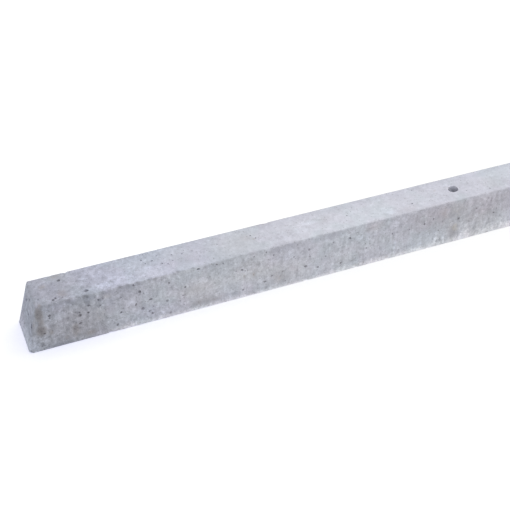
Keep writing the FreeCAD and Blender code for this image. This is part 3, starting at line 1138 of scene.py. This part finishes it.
def concrete_material():
    """Cast concrete: grey cement with sand, grit and pinholes, and the stains that the masks lay out."""
    material = bpy.data.materials.new("concrete")
    graph = Graph(material)
    place = graph.place()
    noises = cement_noises(graph, place)
    masks = graph.masks()
    for name in RAGGED:
        masks[name] = ragged(graph, masks[name], noises)
    masks["skin"] = broken_up(graph, masks["skin"], graph.spread(noises["mottle"], 0.8), 0.4)
    for name, kind in DOTS.items():
        masks[name] = dots(graph, place, *kind)
    colour = plain_cement(graph, noises, masks["streaks"], masks["grain"])
    for name, tint in TINTS.items():
        colour = graph.dye(colour, masks[name], tint)
    shader = graph.nodes["Principled BSDF"]
    graph.feed(shader.inputs["Base Color"], colour)
    graph.feed(shader.inputs["Roughness"], graph.ramp(noises["blotch"], 0.25, 0.75, *ROUGHNESS))
    graph.feed(shader.inputs["Normal"], relief(graph, noises, masks["pinholes"]))
    graph.feed(shader.inputs["Specular IOR Level"], SPECULAR)
    return material


def add_object(name, data):
    """A new object of the scene."""
    made = bpy.data.objects.new(name, data)
    bpy.context.scene.collection.objects.link(made)
    return made


def add_post():
    """The post itself, riding the part's only body in place of its one node."""
    mesh = build_mesh("post")
    post = add_object("post", mesh)
    mesh.materials.append(concrete_material())
    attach(post, "root")
    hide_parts(NODE)


# The studio, in metres: where the photograph was taken from, found by fitting the post's edges, foot and hole
CAMERA_PLACE = (-0.7023, -1.1274, 1.0243)
CAMERA_DOWN = 38.888
CAMERA_RIGHT = 22.097
CAMERA_LENS = 73.59
SENSOR = 36.0

# Light: the sky all round, and large soft lamps (place, aim, size, power)
SKY = 0.60
LAMPS = {
    "overhead": ((0.42, 0.4, 1.35), (0.05, 0.0, 0.0), (1.5, 1.2), 10.0),
    "front": ((-0.05, -1.0, 0.9), (-0.1, 0.0, 0.03), (1.0, 0.8), 2.2),
}

# The floor as it lights the post, and as it shows: a glow and a shade that fade along the post from those
# round the foot to those along the rest, and turn clear white at a distance
FLOOR_HALF = 6.0
WHITE = (1.0, 1.0, 1.0, 1.0)
FLOOR_COLOUR = (0.85, 0.85, 0.85, 1.0)
FLOOR_GLOW = (0.44, 0.46, 0.76, 1.0), (0.80, 0.81, 0.90, 1.0)
FLOOR_SHADE = (0.75, 0.735, 0.40, 1.0), (0.25, 0.24, 0.13, 1.0)
FLOOR_FADE = (-0.5, 0.0)
FLOOR_CLEAR = (0.95, 1.5)


def add_camera():
    """The camera that the picture is taken with."""
    data = bpy.data.cameras.new("camera")
    data.lens = CAMERA_LENS
    data.sensor_width = SENSOR
    camera = add_object("camera", data)
    camera.location = CAMERA_PLACE
    camera.rotation_euler = (math.radians(90 - CAMERA_DOWN), 0, -math.radians(CAMERA_RIGHT))
    bpy.context.scene.camera = camera


def seen_directly(graph):
    """1 for rays that show the backdrop to the camera, in a mirror or through glass."""
    path = graph.add("ShaderNodeLightPath", {})
    mirrored = graph.math("MAXIMUM", path.outputs["Is Camera Ray"], path.outputs["Is Glossy Ray"])
    return graph.math("MAXIMUM", mirrored, path.outputs["Is Transmission Ray"])


def floor_material():
    """A pale matt floor that shows as white with a faint cool shadow."""
    material = bpy.data.materials.new("floor")
    graph = Graph(material)
    graph.nodes.clear()
    place = graph.place()
    across = graph.add("ShaderNodeSeparateXYZ", {0: place}).outputs["X"]
    distance = graph.add("ShaderNodeVectorMath", {0: place}, operation="LENGTH").outputs["Value"]
    along = graph.ramp(across, *FLOOR_FADE)
    away = graph.ramp(distance, *FLOOR_CLEAR)
    glow_colour = graph.mix(away, graph.mix(along, *FLOOR_GLOW), WHITE)
    glow = graph.add("ShaderNodeEmission", {"Color": glow_colour}).outputs[0]
    shaded = graph.add("ShaderNodeBsdfDiffuse", {"Color": graph.mix(along, *FLOOR_SHADE)}).outputs[0]
    plain = graph.add("ShaderNodeBsdfDiffuse", {"Color": FLOOR_COLOUR}).outputs[0]
    shown = graph.add("ShaderNodeAddShader", {0: glow, 1: shaded}).outputs[0]
    switch = graph.add("ShaderNodeMixShader", {0: seen_directly(graph), 1: plain, 2: shown}).outputs[0]
    graph.add("ShaderNodeOutputMaterial", {"Surface": switch})
    return material


def add_floor():
    """The studio floor under the post."""
    half = FLOOR_HALF
    corners = [(-half, -half, 0), (half, -half, 0), (half, half, 0), (-half, half, 0)]
    mesh = bpy.data.meshes.new("floor")
    mesh.from_pydata(corners, [], [(0, 1, 2, 3)])
    floor = add_object("floor", mesh)
    mesh.materials.append(floor_material())


def add_lamps():
    """Large soft lamps: one above and behind the post, towards its top, and a weak one in front."""
    for name, (place, aim, size, power) in LAMPS.items():
        data = bpy.data.lights.new(name, "AREA")
        data.shape = "RECTANGLE"
        data.size, data.size_y = size
        data.energy = power
        lamp = add_object(name, data)
        lamp.location = place
        lamp.rotation_euler = (Vector(aim) - Vector(place)).to_track_quat("-Z", "Y").to_euler()


def add_world():
    """An even pale sky that shows as white."""
    world = bpy.data.worlds.new("studio")
    bpy.context.scene.world = world
    graph = Graph(world)
    brightness = {"Factor": seen_directly(graph), "A": SKY, "B": 1.0}
    strength = graph.add("ShaderNodeMix", brightness, data_type="FLOAT").outputs["Result"]
    sky = graph.nodes["Background"]
    graph.feed(sky.inputs["Color"], WHITE)
    graph.feed(sky.inputs["Strength"], strength)


add_post()
add_camera()
add_floor()
add_world()
add_lamps()
bpy.context.scene.view_settings.view_transform = "Standard"
